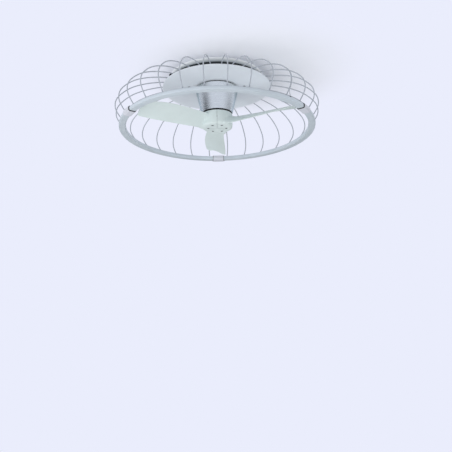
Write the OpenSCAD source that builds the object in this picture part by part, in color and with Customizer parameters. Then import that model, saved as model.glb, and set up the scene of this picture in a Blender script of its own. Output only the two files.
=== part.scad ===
// Caged ceiling fan with a ring light.
// The ceiling is the plane z = 0 and everything hangs below it; the fan turns about the Z axis.
// A round canopy carries a fixed motor cone, a three-blade rotor and a cage of bent wires,
// and the cage wires carry a ring light in three arcs joined by sleeves.
// Azimuths are degrees from +X towards +Y. The front of the fan is at 270 degrees.

/* [Ceiling bracket] */
// Length of the steel bar that is screwed to the ceiling
bracket_l = 200; // [190:1:230]
// Width of the bar
bracket_w = 36; // [28:1:44]
// Thickness of the bar
bracket_t = 2; // [1.5:0.1:3]
// Distance between the middles of the two ceiling slots
slot_pitch = 120; // [100:1:130]
// Length of a ceiling slot from end to end
slot_l = 14; // [9:0.5:20]
// Width of a ceiling slot
slot_w = 5.5; // [4.5:0.1:7]
// Distance between the two studs that carry the canopy pan
stud_pitch = 176; // [168:1:184]
// Diameter of a stud
stud_d = 5; // [4:0.5:6]

/* [Canopy] */
// Radius of the canopy pan against the ceiling
pan_r = 150; // [147:1:152]
// Depth of the pan's side wall
pan_h = 14; // [12:0.5:24]
// Thickness of the pan's sheet steel
pan_t = 1.2; // [0.8:0.1:2]
// Height of the black spacer ring below the pan wall
spacer_h = 19.5; // [16:0.5:24]
// Thickness of the spacer ring
spacer_t = 5; // [3:0.5:7]
// How far the round cover disc reaches out past the canopy pan
disc_overhang = 25; // [22:1:36]
// Thickness of the cover disc's rim
disc_t = 2.5; // [2:0.1:4]
// Distance of the two cover screws from the axis
cover_screw_r = 90; // [80:1:100]
// Diameter of a cover screw's head
cover_screw_d = 8; // [6:0.5:10]
// Bore of the rubber bush where the supply cable enters
entry_d = 10; // [8:0.5:12]
// Distance of the cable entry from the axis
entry_r = 80; // [76:1:90]

/* [Cage] */
// Number of wires on each of the three light arcs
wires_per_arc = 10; // [6:1:12]
// Diameter of a cage wire
wire_d = 3.4; // [2.5:0.1:4]
// Lean of a wire's foot above the horizontal
foot_lean = 48; // [44:1:56]
// Bend radius above the foot
knee_r = 142; // [120:2:230]
// Turn of the bend above the foot
knee_turn = 14; // [10:1:16]
// Bend radius at the widest part of the cage
shoulder_r = 46; // [40:1:52]
// Turn of the bend at the widest part
shoulder_turn = 69; // [60:1:72]
// Bend radius above the widest part
brow_r = 139; // [120:1:160]
// Turn of the bend above the widest part
brow_turn = 28; // [24:1:30]
// Bend radius of the flat top stretch
crown_r = 300; // [260:5:400]
// Distance of the wire hoop, which the wires are welded to, from the spacer ring
hoop_off = 7; // [6:0.5:10]
// Diameter of the hoop's wire
hoop_d = 3.8; // [3:0.1:4.5]
// Space between the hoop and the cover disc
hoop_gap = 1.5; // [1:0.1:4]

/* [Light ring] */
// Middle radius of the light ring
ring_r = 301; // [290:1:320]
// Width of the ring's section
ring_w = 22.5; // [18:0.5:26]
// Height of the ring's section
ring_h = 12.5; // [10.5:0.5:16]
// Rounding of the section's corners
ring_round = 4; // [2:0.5:5]
// Thickness of the aluminium channel's side walls
channel_wall = 1.6; // [1.2:0.1:2.5]
// Thickness of the channel's roof, which holds the wire feet
channel_roof = 3; // [2.5:0.1:4]
// Thickness of the diffuser
lens_t = 1.8; // [1.2:0.1:2.4]
// Width of the strip of light-emitting diodes
strip_w = 10; // [6:0.5:12]
// Number of diodes on each strip
diodes = 30; // [6:1:40]
// Length of a joint sleeve along the ring
sleeve_l = 38; // [30:1:46]
// Thickness of a sleeve's wall round the ring
sleeve_wall = 2.5; // [1.5:0.1:4]
// Width of the black seals at the two ends of the front arc
seal_wide = 3; // [2:0.1:4]
// Width of the four other seals
seal_slim = 1.2; // [0.6:0.1:2]

/* [Motor] */
// Radius of the motor cone where it meets the canopy
cone_top_r = 69; // [67:0.5:74]
// Radius of the cone's lower edge
cone_low_r = 49.5; // [49:0.5:53]
// Height of the cone
cone_h = 82.5; // [82:0.5:95]
// Thickness of the cone's wall
cone_t = 1.6; // [1.2:0.1:2.5]
// Height of the black shadow gap between disc and cone
neck_gap = 4.5; // [2:0.5:8]
// Radius of the black neck inside that gap
neck_r = 63; // [59:0.5:65]
// Radius of the fixed motor shaft
shaft_r = 7.5; // [6:0.25:8]
// Radius of the stator's laminated core
stator_r = 38.2; // [36:0.2:38.6]
// Height of the stator's core
stator_h = 30; // [20:1:32]
// Number of stator teeth
teeth = 12; // [6:1:18]
// Number of magnets in the rotor
magnets = 16; // [8:2:28]
// Thickness of a magnet
magnet_t = 2.6; // [2:0.1:3]
// Outer radius of the steel rotor cup
cup_r = 44; // [43.6:0.1:46]
// Height of the gap between the cone and the hub
hub_gap = 5; // [2:0.5:6]

/* [Hub and blades] */
// Radius of the hub
hub_r = 49; // [47:0.5:52]
// Height of the hub
hub_h = 45; // [44:1:60]
// Thickness of the hub's moulded wall
hub_wall = 2.6; // [2:0.1:3]
// Rounding of the hub's lower edge
hub_round = 9; // [4:0.5:10]
// Distance of the six blade screws from the axis
blade_screw_r = 29; // [26:0.5:31]
// Diameter of the wells that the heads of the blade screws sit in
well_d = 8.6; // [8:0.1:9.5]
// Depth of these wells
well_depth = 4; // [3:0.5:8]
// Room between the blade tips and the light ring
tip_gap = 22; // [18:1:50]
// Thickness of a blade in the middle
blade_t = 5; // [2.5:0.1:6]
// Width of the seam between two blade mouldings
seam = 0.8; // [0.2:0.05:0.9]
// Control values of a blade's high edge, from root to tip: sideways, and up from the hub's under side
high_side = [19.5, 34.7, 55.8, 39.1];
high_lift = [35.8, 32.5, 39.4, 23.4];
// The same for a blade's low edge
low_side = [-19.6, -18.6, -27.1, -25];
low_lift = [1.1, 0.9, 0.3, 3.4];
// Rise of a blade's section between its edges, at the root and at the tip
root_camber = 3.4; // [2:0.1:6]
tip_camber = 6.2; // [2:0.1:8]
// How much thicker, and how much wider, a blade gets where it joins the hub
root_flare = 7; // [2:0.5:9]
root_widen = 8; // [2:0.5:10]
// Length over which a blade's root fades into the blade
root_reach = 24; // [14:1:40]

/* [Hidden] */
$fn = 96;

// The thickness of a running or seated clearance between two pieces
seat = 0.05;
eps = 0.01;

// The three arcs of the light ring start at these azimuths; blades rest there too
arc_step = 120;
rear_az = 90;
front_left_az = rear_az + arc_step;
front_right_az = rear_az + 2 * arc_step;
wire_pitch = arc_step / wires_per_arc;

// Radii that follow the canopy pan and the light ring
disc_r = pan_r + disc_overhang;
hoop_r = pan_r + hoop_off;
tip_r = ring_r - ring_w / 2 - tip_gap;

// Levels from the ceiling down
// Room between bracket and pan for the heads of the ceiling screws
head_room = 4;
pan_plate_z = -bracket_t - head_room;
pan_under_z = pan_plate_z - pan_t;
pan_rim_z = -pan_h;
disc_top_z = -pan_h - spacer_h;
disc_under_z = disc_top_z - disc_t;
hoop_z = disc_top_z + hoop_gap + hoop_d / 2;
wire_top_z = hoop_z + hoop_d / 2 + wire_d / 2 + seat;
cone_top_z = disc_under_z - neck_gap;
cone_low_z = cone_top_z - cone_h;
hub_top_z = cone_low_z - hub_gap;
hub_low_z = hub_top_z - hub_h;

// Bends of a cage wire: headings in degrees above the outward horizontal
heading_foot = foot_lean;
heading_knee = heading_foot + knee_turn;
heading_shoulder = heading_knee + shoulder_turn;
heading_brow = heading_shoulder + brow_turn;
foot_r = ring_r - 1.2;
function bend(p, r, from, to) = p + r * [sin(to) - sin(from), cos(from) - cos(to)];
flat_foot = [foot_r, 0];
flat_knee = bend(flat_foot, knee_r, heading_foot, heading_knee);
flat_shoulder = bend(flat_knee, shoulder_r, heading_knee, heading_shoulder);
flat_brow = bend(flat_shoulder, brow_r, heading_shoulder, heading_brow);
heading_crown = 180 - asin(sin(heading_brow) + (hoop_r - flat_brow[0]) / crown_r);
wire_rise = bend(flat_brow, crown_r, heading_brow, heading_crown)[1];
foot_z = wire_top_z - wire_rise;
foot = [foot_r, foot_z];
BENDS = [[knee_r, heading_foot, heading_knee], [shoulder_r, heading_knee, heading_shoulder],
    [brow_r, heading_shoulder, heading_brow], [crown_r, heading_brow, heading_crown]];
// Where each bend starts
STARTS = [foot, flat_knee + [0, foot_z], flat_shoulder + [0, foot_z], flat_brow + [0, foot_z]];

// How far the lens stands up between the side walls of its channel
lens_step = 0.5;
// The light ring hangs on the feet, which stand in its roof
foot_clear = 0.5;
// The feet end this far above the hollow under the roof
foot_floor = 0.4;
foot_depth = (channel_roof - foot_floor + foot_clear - wire_d / 2 * cos(foot_lean)) / sin(foot_lean);
ring_top_z = foot_z - foot_clear;
ring_z = ring_top_z - ring_h / 2;
ring_low_z = ring_top_z - ring_h;
split_z = ring_low_z + lens_t - lens_step;

function polar(r, az, z = 0) = [r * cos(az), r * sin(az), z];

// ---------- shared shapes ----------

module tube(outer, inner, height) {
    difference() {
        cylinder(r = outer, h = height);
        translate([0, 0, -1]) cylinder(r = inner, h = height + 2);
    }
}

// A rounded rectangle from its middle, drawn with true arcs
module rounded_rect(w, h, r) {
    square([w - 2 * r, h], center = true);
    square([w, h - 2 * r], center = true);
    for (x = [-1, 1], y = [-1, 1])
        translate([x * (w / 2 - r), y * (h / 2 - r)]) circle(r = r);
}

// A machine screw that hangs head down, its head's top at z = 0
module screw(shank_r, shank_l, head_r, head_h) {
    translate([0, 0, -head_h]) cylinder(r = head_r, h = head_h);
    translate([0, 0, -eps]) cylinder(r = shank_r, h = shank_l + eps);
}

// A cross recess cut into the under side of a screw head at z = 0
module cross_recess(size, depth) {
    for (turn = [0, 90])
        rotate([0, 0, turn]) translate([-size / 2, -size / 8, -1]) cube([size, size / 4, depth + 1]);
}

// One slice of the round from azimuth a to b, tall enough for any ring piece
module ring_sweep(a, b) {
    rotate([0, 0, a]) rotate_extrude(angle = b - a) children();
}

// Puts children at a place on the ring, x outwards
module on_ring(az, r, z) {
    rotate([0, 0, az]) translate([r, 0, z]) children();
}

// ---------- ceiling bracket and canopy ----------

bracket_hole_r = 14;
nut_h = 4;
nut_r = stud_d * 0.85;

module ceiling_bracket() {
    color("silver") {
        difference() {
            translate([-bracket_w / 2, -bracket_l / 2, -bracket_t]) cube([bracket_w, bracket_l, bracket_t]);
            translate([0, 0, -bracket_t - 1]) cylinder(r = bracket_hole_r, h = bracket_t + 2);
            for (side = [-1, 1])
                translate([0, side * slot_pitch / 2, -bracket_t - 1]) ceiling_slot(bracket_t + 2);
        }
        for (side = [-1, 1])
            translate([0, side * stud_pitch / 2, pan_under_z - nut_h - 1.5])
                cylinder(r = stud_d / 2, h = pan_plate_z + head_room - pan_under_z + nut_h + 1.5 + eps);
    }
}

module ceiling_slot(height) {
    run = slot_l - slot_w;
    translate([-slot_w / 2, -run / 2, 0]) cube([slot_w, run, height]);
    for (end = [-1, 1]) translate([0, end * run / 2, 0]) cylinder(d = slot_w, h = height);
}

module pan_nuts() {
    color("silver")
        for (side = [-1, 1])
            translate([0, side * stud_pitch / 2, pan_under_z - nut_h])
                difference() {
                    cylinder(r = nut_r, h = nut_h, $fn = 6);
                    translate([0, 0, -1]) cylinder(r = stud_d / 2 + seat, h = nut_h + 2);
                }
}

entry_az = 160;
bush_flange = 3;
bush_l = 5;
plate_hole_r = 30;
mount_hole_r = 50;

module canopy_pan() {
    color("white") difference() {
        union() {
            translate([0, 0, pan_under_z]) cylinder(r = pan_r - pan_t / 2, h = pan_t);
            translate([0, 0, pan_rim_z]) tube(pan_r, pan_r - pan_t, pan_h);
        }
        for (side = [-1, 1])
            translate([0, side * stud_pitch / 2, pan_under_z - 1]) cylinder(r = stud_d / 2 + seat, h = pan_t + 2);
        translate(polar(entry_r, entry_az, pan_under_z - 1)) cylinder(r = entry_d / 2 + 1.5 + seat, h = pan_t + 2);
        mount_screw_places() translate([0, 0, pan_under_z - 1]) cylinder(r = mount_screw_r + seat, h = pan_t + 2);
        rim_screw_places() cylinder(r = rim_screw_r + seat, h = 2 * spacer_t, center = true);
        for (az = COVER_SCREWS)
            translate(polar(cover_screw_r, az, pan_under_z - 1)) cylinder(r = post_stem_r + seat, h = pan_t + 2);
    }
}

// A rubber bush with a groove that snaps into the pan's plate
module cable_bush() {
    color("dimgray") translate(polar(entry_r, entry_az, pan_under_z + pan_t / 2)) difference() {
        union() {
            translate([0, 0, -bush_l / 2]) cylinder(r = entry_d / 2 + 1.5, h = bush_l / 2 + pan_t / 2 + 1);
            translate([0, 0, -bush_l / 2]) cylinder(r = entry_d / 2 + bush_flange, h = bush_l / 2 - pan_t / 2);
            translate([0, 0, pan_t / 2]) cylinder(r = entry_d / 2 + bush_flange, h = 1);
        }
        translate([0, 0, -bush_l]) cylinder(d = entry_d, h = 2 * bush_l);
    }
}

lip_room = 0.3;
spacer_lip_h = pan_h + pan_under_z - lip_room;
spacer_lip_t = 2.4;
rim_screw_r = 1.5;

module rim_screw_places() {
    for (az = [30, 135, 225, 330])
        rotate([0, 0, az]) translate([pan_r, 0, pan_rim_z + spacer_lip_h / 2]) rotate([0, 90, 0]) children();
}

// Flat screws through the pan's wall into the lip of the spacer ring
module rim_screws() {
    color("white") rim_screw_places() {
        translate([0, 0, -pan_t - spacer_lip_t]) cylinder(r = rim_screw_r, h = pan_t + spacer_lip_t + 0.5);
        translate([0, 0, 0.15]) cylinder(r = 2.3, h = 1);
    }
}

module spacer_ring() {
    color("#1b1c1f") difference() {
        union() {
            translate([0, 0, disc_top_z]) tube(pan_r, pan_r - spacer_t, spacer_h);
            translate([0, 0, pan_rim_z - spacer_lip_h])
                tube(pan_r - pan_t - seat, pan_r - pan_t - seat - spacer_lip_t, 2 * spacer_lip_h);
        }
        clip_places() translate([pan_r - spacer_t - 1, 0, clip_bolt_z]) rotate([0, 90, 0])
            cylinder(r = clip_bolt_r + seat, h = spacer_t + 2);
        rim_screw_places() cylinder(r = rim_screw_r + seat, h = 2 * spacer_t, center = true);
        rotate([0, 0, lead_wire_az]) translate([pan_r - spacer_t - 1, lead_off, wire_top_z]) rotate([0, 90, 0])
            cylinder(r = lead_d / 2 + 0.3, h = spacer_t + 2);
    }
}

// The two cover screws sit a little in front of the middle
COVER_SCREWS = [190, 350];
post_r = 4.5;
post_stem_r = 2.5;
cover_thread_r = 2;
cover_thread_l = 12;

// Hexagonal posts that the cover disc is screwed to
module cover_posts() {
    color("silver") for (az = COVER_SCREWS) translate(polar(cover_screw_r, az, disc_top_z)) difference() {
        union() {
            cylinder(r = post_r, h = pan_under_z - disc_top_z, $fn = 6);
            cylinder(r = post_stem_r, h = pan_under_z + pan_t - disc_top_z);
        }
        translate([0, 0, -1]) cylinder(r = cover_thread_r + seat, h = cover_thread_l + 2);
    }
}

disc_hole_r = neck_r + 1;
disc_round = disc_t / 2;

module cover_disc() {
    color("#e3e6e8") difference() {
        translate([0, 0, disc_under_z]) rotate_extrude() difference() {
            union() {
                square([disc_r - disc_round, disc_t]);
                translate([disc_r - disc_round, disc_round]) circle(r = disc_round);
            }
            translate([-disc_r, -disc_t]) square([disc_r + disc_hole_r, 3 * disc_t]);
        }
        for (az = COVER_SCREWS)
            translate(polar(cover_screw_r, az, disc_under_z - 1)) cylinder(r = cover_thread_r + 0.3, h = disc_t + 2);
    }
}

cover_head_h = 2;

module cover_screws() {
    color("silver") for (az = COVER_SCREWS) translate(polar(cover_screw_r, az, disc_under_z)) difference() {
        screw(cover_thread_r, disc_t + cover_thread_l - 1, cover_screw_d / 2, cover_head_h);
        translate([0, 0, -cover_head_h]) cross_recess(cover_screw_d * 0.6, 1.2);
    }
}

// ---------- modules inside the canopy ----------

module_r = 103;
box_l = 76;
box_w = 44;
box_h = 20;
small_l = 56;
small_w = 24;
small_h = 15;
ear = 6;
ear_t = 1.6;
module_screw_r = 1.5;

// A box on the pan's under side, with an ear at each end for a screw
module control_box(az, l, w, h) {
    on_ring(az, module_r, pan_under_z) difference() {
        union() {
            translate([-w / 2, -l / 2 + ear, -h]) cube([w, l - 2 * ear, h]);
            translate([-ear, -l / 2, -ear_t]) cube([2 * ear, l, ear_t]);
        }
        for (end = [-1, 1])
            translate([0, end * (l / 2 - ear / 2), -h]) cylinder(r = module_screw_r + seat, h = 2 * h);
    }
}

module motor_driver() {
    color("whitesmoke") control_box(45, box_l, box_w, box_h);
}

module light_driver() {
    color("whitesmoke") control_box(225, box_l, box_w, box_h);
}

poles = 3;
pole_pitch = 12;

module terminal_block() {
    color("ivory") difference() {
        control_box(135, small_l, small_w, small_h);
        on_ring(135, module_r, pan_under_z) for (i = [0 : poles - 1])
            translate([0, (i - (poles - 1) / 2) * pole_pitch, 0]) {
                translate([0, 0, -small_h - 1]) cylinder(r = 2.4, h = 6);
                translate([-small_w, 0, -small_h / 2]) rotate([0, 90, 0]) cylinder(r = 2, h = 2 * small_w);
            }
    }
}

module remote_receiver() {
    color("gainsboro") control_box(315, small_l, small_w, small_h);
}

module module_screws() {
    color("silver") {
        for (az = [45, 225], end = [-1, 1]) module_screw(az, end * (box_l / 2 - ear / 2));
        for (az = [135, 315], end = [-1, 1]) module_screw(az, end * (small_l / 2 - ear / 2));
    }
}

module module_screw(az, along) {
    on_ring(az, module_r, pan_under_z - ear_t) translate([0, along, 0])
        screw(module_screw_r, ear_t - seat, 2.6, 1.6);
}

// ---------- cage ----------

module cage_hoop() {
    color("gainsboro") translate([0, 0, hoop_z]) rotate_extrude() translate([hoop_r, 0]) circle(d = hoop_d);
}

// Lays a shape drawn in the r, z plane into the upright plane at an azimuth
module in_plane(az) {
    rotate([0, 0, az]) rotate([90, 0, 0]) children();
}

// One bend of a wire, from its start point and headings, a little short at both ends
module wire_bend(start, r, from, to, d) {
    middle = start + r * [-sin(from), cos(from)];
    short = 0.2 / r * 180 / PI;
    translate([middle[0], middle[1], 0]) rotate([0, 0, from - 90 + short])
        rotate_extrude(angle = to - from - 2 * short) translate([r, 0]) circle(d = d);
}

// A short, barely thicker sleeve that closes the joint between two bends
module wire_joint(p, heading, d) {
    translate([p[0], p[1], 0]) rotate([0, 0, heading]) rotate([0, 90, 0]) cylinder(d = d + 0.1, h = 1.2, center = true);
}

// The straight end of a foot, which stands in the ring's roof; a negative start stops it short of the bend
module wire_foot(d, start, extra = 0) {
    translate([foot[0], foot[1], 0]) rotate([0, 0, foot_lean - 90])
        rotate([90, 0, 0]) translate([0, 0, -start]) cylinder(d = d, h = foot_depth + extra + start);
}

module cage_wire(az) {
    in_plane(az) {
        wire_foot(wire_d, -0.2);
        for (i = [0 : len(BENDS) - 1]) {
            wire_bend(STARTS[i], BENDS[i][0], BENDS[i][1], BENDS[i][2], wire_d);
            wire_joint(STARTS[i], BENDS[i][1], wire_d);
        }
    }
}

module wires_of_arc(start) {
    color("gainsboro") for (i = [0 : wires_per_arc - 1]) cage_wire(start + (i + 0.5) * wire_pitch);
}

module cage_wires_left() { wires_of_arc(rear_az); }
module cage_wires_front() { wires_of_arc(front_left_az); }
module cage_wires_right() { wires_of_arc(front_right_az); }

clip_w = 9;
clip_r = disc_r - 2;
clip_low_z = disc_top_z + 0.2;
clip_h = hoop_gap + hoop_d + 8;
// Past the hoop a clip gets lower, and lies on the cover disc up to its rim
clip_wall = 1.6;
clip_low_h = hoop_gap + hoop_d + clip_wall;
clip_step_r = hoop_r + hoop_d / 2 + clip_wall;
clip_mouth = 0.84;
clip_bolt_r = 2;
clip_bolt_z = hoop_z + hoop_d / 2 + 4;
clip_head_r = 3.6;
// The bolts' flat heads stand against the spacer ring's hollow side, so they are held off by its curve
clip_head_x = sqrt(pow(pan_r - spacer_t, 2) - pow(clip_head_r, 2)) - seat;
// The three clips stand beside a wire of the left, front and right arc
CLIPS = [rear_az + 0.25 * wire_pitch, front_left_az + 0.25 * wire_pitch, front_right_az + 1.75 * wire_pitch];

module clip_places() {
    for (az = CLIPS) rotate([0, 0, az]) children();
}

// Black clips on the spacer ring: the hoop snaps up into each of them through a narrower mouth
module hoop_clips() {
    color("#141517") difference() {
        clip_places() {
            translate([pan_r - spacer_t, -clip_w / 2, clip_low_z]) cube([clip_step_r - pan_r + spacer_t, clip_w, clip_h]);
            translate([pan_r, -clip_w / 2, clip_low_z]) cube([clip_r - pan_r, clip_w, clip_low_h]);
        }
        translate([0, 0, clip_low_z - 1]) cylinder(r = pan_r + seat, h = clip_h + 2);
        rotate_extrude() {
            translate([hoop_r, hoop_z]) circle(r = hoop_d / 2 + seat);
            translate([hoop_r - clip_mouth * hoop_d / 2, clip_low_z - 1]) square([clip_mouth * hoop_d, hoop_z - clip_low_z + 1]);
        }
        clip_places() translate([pan_r - 1, 0, clip_bolt_z]) rotate([0, 90, 0]) cylinder(r = clip_bolt_r + seat, h = 10);
    }
}

module clip_bolts() {
    color("silver") clip_places()
        translate([clip_head_x, 0, clip_bolt_z]) rotate([0, 90, 0]) screw(clip_bolt_r, spacer_t + 7, clip_head_r, 2.4);
}

// ---------- light ring ----------

sleeve_w = ring_w + 2 * sleeve_wall;
sleeve_h = ring_h + 2 * sleeve_wall;
sleeve_half = sleeve_l / 2 / ring_r * 180 / PI;
web_half = 1.5 / ring_r * 180 / PI;
web_gap = 0.1 / ring_r * 180 / PI;
strip_t = 1;
roof_z = ring_top_z - channel_roof;
lip_t = 1;
lip_h = 3;

module ring_outline(grow = 0) {
    translate([ring_r, ring_z]) rounded_rect(ring_w + 2 * grow, ring_h + 2 * grow, ring_round + grow);
}

// The hollow between roof and side walls, which the lens closes from below
module ring_hollow() {
    translate([ring_r - ring_w / 2 + channel_wall, ring_low_z - 1])
        square([ring_w - 2 * channel_wall, roof_z - ring_low_z + 1]);
}

module channel_outline() {
    difference() {
        ring_outline();
        ring_hollow();
        translate([ring_r - ring_w, ring_low_z - 1]) square([2 * ring_w, split_z - ring_low_z + 1]);
    }
}

// The lens lies against the ends of the side walls, with a step and two lips between them
module diffuser_outline() {
    inner = ring_w / 2 - channel_wall - seat;
    difference() {
        ring_outline();
        translate([ring_r - ring_w, split_z]) square([2 * ring_w, ring_h]);
    }
    translate([ring_r - inner, split_z - eps]) square([2 * inner, lens_step + eps]);
    for (side = [-1, 1])
        translate([ring_r + side * (inner - lip_t / 2) - lip_t / 2, ring_low_z + lens_t - eps])
            square([lip_t, lip_h + eps]);
}

module channel(start) {
    color("#d9dde0") difference() {
        ring_sweep(start + web_half + web_gap, start + arc_step - web_half - web_gap) channel_outline();
        for (i = [0 : wires_per_arc - 1])
            in_plane(start + (i + 0.5) * wire_pitch) wire_foot(wire_d + 2 * seat, 2 * wire_d, 0.2);
        for (end = [start, start + arc_step], side = [-1, 1])
            on_ring(end + side * sleeve_screw_az, ring_r, roof_z - 1) cylinder(r = sleeve_screw_r + seat, h = channel_roof + 2);
        if (start == front_left_az)
            on_ring(grommet_az, grommet_place_r, roof_z - 1) cylinder(r = grommet_r + seat, h = channel_roof + 2);
    }
}

module channel_left() { channel(rear_az); }
module channel_front() { channel(front_left_az); }
module channel_right() { channel(front_right_az); }

module diffuser(start) {
    color("#eef1f2") ring_sweep(start + web_half + web_gap, start + arc_step - web_half - web_gap) diffuser_outline();
}

module diffuser_left() { diffuser(rear_az); }
module diffuser_front() { diffuser(front_left_az); }
module diffuser_right() { diffuser(front_right_az); }

diode = [2.8, 3.5, 0.9];
strip_end = 2.5;

// A printed strip stuck under the roof, with a row of diodes
module diode_strip(start) {
    color("ivory") {
        ring_sweep(start + sleeve_half + strip_end / 2, start + arc_step - sleeve_half - strip_end / 2)
            translate([ring_r - strip_w / 2, roof_z - strip_t]) square([strip_w, strip_t]);
        step = (arc_step - 2 * sleeve_half - 2 * strip_end) / (diodes - 1);
        for (i = [0 : diodes - 1])
            on_ring(start + sleeve_half + strip_end + i * step, ring_r, roof_z - strip_t)
                translate([-diode[0] / 2, -diode[1] / 2, -diode[2]]) cube(diode + [0, 0, eps]);
    }
}

module diodes_left() { diode_strip(rear_az); }
module diodes_front() { diode_strip(front_left_az); }
module diodes_right() { diode_strip(front_right_az); }

module sleeve(az) {
    color("#cfcfd6") difference() {
        union() {
            ring_sweep(az - sleeve_half, az + sleeve_half) difference() {
                ring_outline(sleeve_wall);
                ring_outline(seat);
            }
            ring_sweep(az - web_half, az + web_half) ring_outline(sleeve_wall / 2);
        }
        on_ring(az, ring_r, ring_z) rotate([90, 0, 0]) translate([0, 0, -5]) cylinder(r = 3, h = 10);
        for (side = [-1, 1])
            on_ring(az + side * sleeve_screw_az, ring_r, ring_top_z - 1) cylinder(r = sleeve_screw_r + seat, h = sleeve_wall + 2);
    }
}

module sleeve_rear() { sleeve(rear_az); }
module sleeve_front_left() { sleeve(front_left_az); }
module sleeve_front_right() { sleeve(front_right_az); }

sleeve_screw_az = sleeve_half / 2;
sleeve_screw_r = 1.5;

// Small screws through the top of each sleeve into the two channels
module sleeve_screws() {
    color("silver") for (az = [rear_az, front_left_az, front_right_az], side = [-1, 1])
        on_ring(az + side * sleeve_screw_az, ring_r, ring_top_z + sleeve_wall) rotate([180, 0, 0]) difference() {
            screw(sleeve_screw_r, sleeve_wall + channel_roof - 0.6, 2.7, 1.5);
            translate([0, 0, -1.5]) cross_recess(3, 0.8);
        }
}

// Black seals against the ends of the sleeves
module ring_seals() {
    color("#101113") {
        seal(rear_az, 1, seal_slim);
        seal(rear_az, -1, seal_slim);
        seal(front_left_az, -1, seal_slim);
        seal(front_left_az, 1, seal_wide);
        seal(front_right_az, -1, seal_wide);
        seal(front_right_az, 1, seal_slim);
    }
}

module seal(az, side, width) {
    wide = width / ring_r * 180 / PI;
    a = az + side * sleeve_half;
    ring_sweep(min(a, a + side * wide), max(a, a + side * wide)) difference() {
        ring_outline(sleeve_wall * 0.6);
        ring_outline(seat);
    }
}

grommet_az = front_right_az - 1.3 * wire_pitch;
grommet_place_r = ring_r + ring_w / 2 - ring_round - 1;
grommet_r = 2.4;
grommet_head_r = 3.4;
grommet_head_h = 3.2;
lead_d = 1.8;

// A black bush where the lead of the light enters the ring
module ring_grommet() {
    color("#101113") on_ring(grommet_az, grommet_place_r, ring_top_z) difference() {
        union() {
            translate([0, 0, -channel_roof]) cylinder(r = grommet_r, h = channel_roof + eps);
            cylinder(r1 = grommet_head_r, r2 = grommet_head_r - 1, h = grommet_head_h);
        }
        translate([0, 0, -channel_roof - 1]) cylinder(r = lead_d / 2 + seat, h = channel_roof + grommet_head_h + 2);
    }
}

// The lead runs beside a cage wire, and steps over to the bush near the wire's foot
lead_off = wire_d / 2 + lead_d / 2 + 0.1;
lead_wire_az = front_right_az - 1.5 * wire_pitch;
lead_sides = 8;
lead_step = 6;
// Length of the wire's first bend over which the lead crosses to its bush
lead_cross = 26;
lead_bush = polar(grommet_place_r, grommet_az - lead_wire_az, ring_top_z);
function smooth(t) = t * t * (3 - 2 * t);
function along_bend(i, s) = bend(STARTS[i], BENDS[i][0], BENDS[i][1], BENDS[i][1] + s * (BENDS[i][2] - BENDS[i][1]));
function bend_rings(i) = max(3, ceil(BENDS[i][0] * (BENDS[i][2] - BENDS[i][1]) * PI / 180 / lead_step));
knee_l = knee_r * knee_turn * PI / 180;
// Points are [outwards, sideways, up] in the upright plane of the lead's wire
LEAD = concat(
    [lead_bush - [0, 0, channel_roof - 0.4], lead_bush + [0, 0, grommet_head_h + 1]],
    [for (k = [2 : 7]) let (s = k / 7 * lead_cross / knee_l, mix = smooth(k / 7), p = along_bend(0, s))
        [p[0] * mix + (lead_bush[0] + 4 * k / 7) * (1 - mix), lead_off * mix + lead_bush[1] * (1 - mix),
            p[1] * mix + (lead_bush[2] + grommet_head_h + 1 + 3.4 * k) * (1 - mix)]],
    [for (k = [1 : 3]) let (p = along_bend(0, (lead_cross + k * (knee_l - lead_cross) / 3) / knee_l)) [p[0], lead_off, p[1]]],
    [for (i = [1 : 3]) let (n = bend_rings(i)) for (k = [1 : n]) let (p = along_bend(i, k / n)) [p[0], lead_off, p[1]]],
    [[pan_r - spacer_t - 3, lead_off, wire_top_z]]);

function unit(v) = v / norm(v);
function lead_dir(i) = unit(LEAD[min(i + 1, len(LEAD) - 1)] - LEAD[max(i - 1, 0)]);

module light_lead() {
    side_axis = [0, 1, 0];
    points = [for (i = [0 : len(LEAD) - 1]) let (d = lead_dir(i), u = unit(cross(side_axis, d)), v = cross(d, u))
        for (s = [0 : lead_sides - 1]) LEAD[i] + lead_d / 2 * (u * cos(s * 360 / lead_sides) + v * sin(s * 360 / lead_sides))];
    last = (len(LEAD) - 1) * lead_sides;
    faces = concat(
        [[for (s = [0 : lead_sides - 1]) s]],
        [for (i = [0 : len(LEAD) - 2], s = [0 : lead_sides - 1]) let (a = i * lead_sides + s, b = i * lead_sides + (s + 1) % lead_sides)
            each [[a, a + lead_sides, b + lead_sides], [a, b + lead_sides, b]]],
        [[for (s = [lead_sides - 1 : -1 : 0]) last + s]]);
    color("white") rotate([0, 0, lead_wire_az]) polyhedron(points = points, faces = faces);
}

// ---------- motor, fixed side ----------

mount_plate_t = 2.5;
mount_under_z = pan_under_z - mount_plate_t;
mount_screw_r = 2.5;
neck_t = 3;
neck_flange_t = 2.5;
cone_plate_t = 2;
shaft_flange_r = 22;
shaft_flange_t = 4;
shaft_screw_r = 2;
shaft_screw_place = 15;
cone_screw_r = 2;
cone_screw_place = 46;

module mount_screw_places() {
    for (az = [45 : 90 : 315]) rotate([0, 0, az]) translate([mount_hole_r, 0, 0]) children();
}

module shaft_screw_places() {
    for (az = [30, 150, 270]) rotate([0, 0, az]) translate([shaft_screw_place, 0, 0]) children();
}

module cone_screw_places() {
    for (az = [0, 120, 240]) rotate([0, 0, az]) translate([cone_screw_place, 0, 0]) children();
}

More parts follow.
